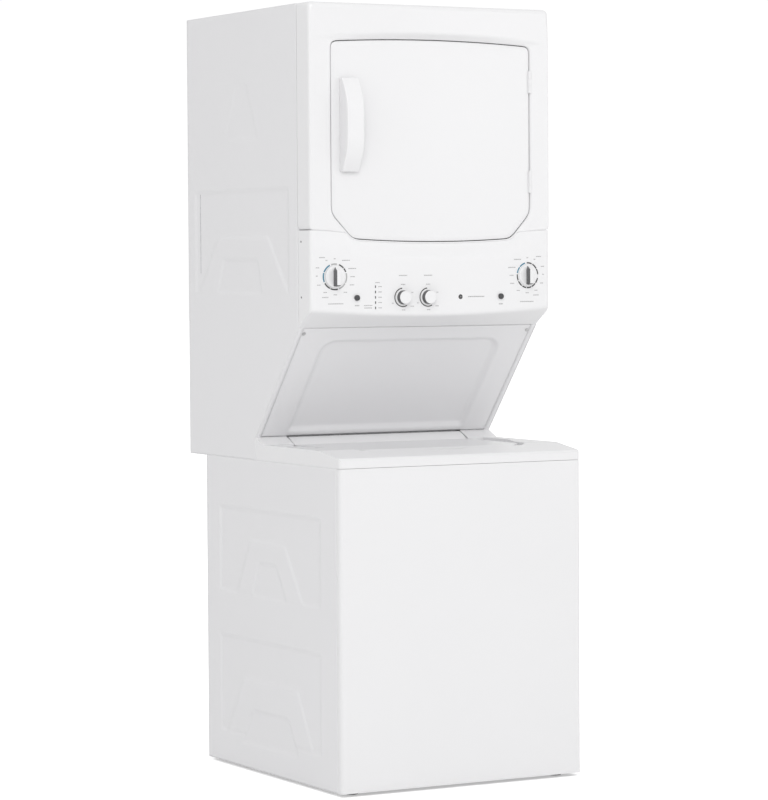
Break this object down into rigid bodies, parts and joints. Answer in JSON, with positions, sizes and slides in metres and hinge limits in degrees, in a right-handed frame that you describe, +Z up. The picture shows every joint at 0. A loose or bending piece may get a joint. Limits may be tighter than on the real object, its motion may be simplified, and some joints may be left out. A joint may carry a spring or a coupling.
{
  "type": "washer dryer stack",
  "caption": "Stacked laundry centre: top-load washer below a front-load dryer, with a control fascia and a slanted panel between them.",
  "frame": {"origin": "on the floor, under the middle of the machine's overall width and depth", "axes": "+X to the right seen from the front, +Y to the back, +Z up"},
  "size_m": [0.68, 0.828, 1.92],
  "materials": {
    "white_enamel": "gloss baked enamel",
    "white_plastic": "moulded, satin gloss",
    "galvanized": "zinc coated sheet",
    "stainless": "brushed",
    "basket_enamel": "speckled enamel",
    "grey_plastic": "moulded polypropylene",
    "aluminium": "die cast",
    "steel": "turned",
    "rubber": "matt",
    "dark_plastic": "moulded"
  },
  "bodies": {
    "cabinet": {"access_panel": "white_enamel", "blower_housing": "grey_plastic", "control_fascia": "white_plastic", "door_catch": "dark_plastic", "door_seal": "rubber", "drain_outlet": "rubber", "drain_pump": "grey_plastic", "drum_belt": "rubber", "dryer_back_panel": "galvanized", "dryer_base": "galvanized", "dryer_front_panel": "white_enamel", "dryer_motor": "aluminium", "dryer_side_left": "white_enamel", "dryer_side_right": "white_enamel", "dryer_top": "white_enamel", "exhaust_duct": "galvanized", "front_bulkhead": "galvanized", "gearcase": "aluminium", "hinge_knuckles": "stainless", "inlet_valve": "grey_plastic", "leveling_feet": "rubber", "lint_duct": "grey_plastic", "outer_tub": "grey_plastic", "panel_screws": "stainless", "rear_bulkhead": "galvanized", "status_lights": "dark_plastic", "suspension_rods": "galvanized", "terminal_block": "grey_plastic", "timers_and_switches": "dark_plastic", "washer_back_panel": "galvanized", "washer_base": "galvanized", "washer_belt": "rubber", "washer_deck": "white_enamel", "washer_front_panel": "white_enamel", "washer_motor": "aluminium", "washer_side_left": "white_enamel", "washer_side_right": "white_enamel"},
    "dryer_door": {"door_outer": "white_enamel", "door_liner": "white_enamel", "door_handle": "white_plastic", "door_hinges": "stainless"},
    "lid": {"washer_lid": "white_enamel"},
    "basket": {"wash_basket": "basket_enamel", "balance_ring": "grey_plastic"},
    "agitator_drive": {"agitator": "white_plastic", "drive_shaft": "steel", "washer_pulley": "grey_plastic"},
    "washer_motor_shaft": {"washer_motor_pulley": "steel"},
    "drum": {"dryer_drum": "stainless", "drum_baffles": "grey_plastic"},
    "blower": {"blower_wheel": "grey_plastic", "dryer_motor_pulley": "steel"},
    "idler": {"idler_pulley": "dark_plastic"},
    "filter": {"lint_filter": "grey_plastic"},
    "washer_cycle": {"washer_cycle_knob": "white_plastic"},
    "dryer_cycle": {"dryer_cycle_knob": "white_plastic"},
    "temperature": {"temperature_knob": "white_plastic"},
    "option": {"option_knob": "white_plastic"},
    "washer_start": {"washer_start_button": "dark_plastic"},
    "dryer_start": {"dryer_start_button": "dark_plastic"}
  },
  "joints": [
    {"name": "dryer_door_hinge", "type": "hinge", "parent": "cabinet", "child": "dryer_door", "pos_m": [0.2852, -0.269, 1.613], "axis": [0, 0, 1], "range_deg": [0, 150]},
    {"name": "washer_lid_hinge", "type": "hinge", "parent": "cabinet", "child": "lid", "pos_m": [0, 0.021, 0.826], "axis": [-1, 0, 0], "range_deg": [0, 46]},
    {"name": "basket_spin", "type": "hinge", "parent": "cabinet", "child": "basket", "pos_m": [0, -0.049, 0.46], "axis": [0, 0, 1], "continuous": true},
    {"name": "agitator_spin", "type": "hinge", "parent": "cabinet", "child": "agitator_drive", "pos_m": [0, -0.049, 0.46], "axis": [0, 0, 1], "continuous": true},
    {"name": "washer_motor_spin", "type": "hinge", "parent": "cabinet", "child": "washer_motor_shaft", "pos_m": [0.175, 0.095, 0.11], "axis": [0, 0, 1], "continuous": true},
    {"name": "drum_spin", "type": "hinge", "parent": "cabinet", "child": "drum", "pos_m": [0, 0, 1.585], "axis": [0, 1, 0], "continuous": true},
    {"name": "blower_spin", "type": "hinge", "parent": "cabinet", "child": "blower", "pos_m": [0.12, 0, 1.17], "axis": [0, 1, 0], "continuous": true},
    {"name": "idler_spin", "type": "hinge", "parent": "cabinet", "child": "idler", "pos_m": [0.01867, 0.197, 1.17993], "axis": [0, 1, 0], "continuous": true},
    {"name": "lint_filter_slide", "type": "slide", "parent": "cabinet", "child": "filter", "axis": [0, 0, 1], "range_m": [0, 0.19]},
    {"name": "washer_cycle_turn", "type": "hinge", "parent": "cabinet", "child": "washer_cycle", "pos_m": [-0.2745, -0.279, 1.253], "axis": [0, -1, 0], "continuous": true},
    {"name": "dryer_cycle_turn", "type": "hinge", "parent": "cabinet", "child": "dryer_cycle", "pos_m": [0.2745, -0.279, 1.253], "axis": [0, -1, 0], "continuous": true},
    {"name": "temperature_turn", "type": "hinge", "parent": "cabinet", "child": "temperature", "pos_m": [-0.089, -0.279, 1.201], "axis": [0, -1, 0], "range_deg": [-120, 120]},
    {"name": "option_turn", "type": "hinge", "parent": "cabinet", "child": "option", "pos_m": [-0.0185, -0.279, 1.201], "axis": [0, -1, 0], "range_deg": [-120, 120]},
    {"name": "washer_start_press", "type": "slide", "parent": "cabinet", "child": "washer_start", "axis": [0, 1, 0], "range_m": [0, 0.003], "stiffness_N_per_m": 400, "springref_m": -0.0005},
    {"name": "dryer_start_press", "type": "slide", "parent": "cabinet", "child": "dryer_start", "axis": [0, 1, 0], "range_m": [0, 0.003], "stiffness_N_per_m": 400, "springref_m": -0.0005}
  ],
  "couplings": [
    {"joint": "washer_motor_spin", "follows": "agitator_spin", "ratio": 3.9583},
    {"joint": "blower_spin", "follows": "drum_spin", "ratio": 15},
    {"joint": "idler_spin", "follows": "drum_spin", "ratio": -12.5}
  ]
}
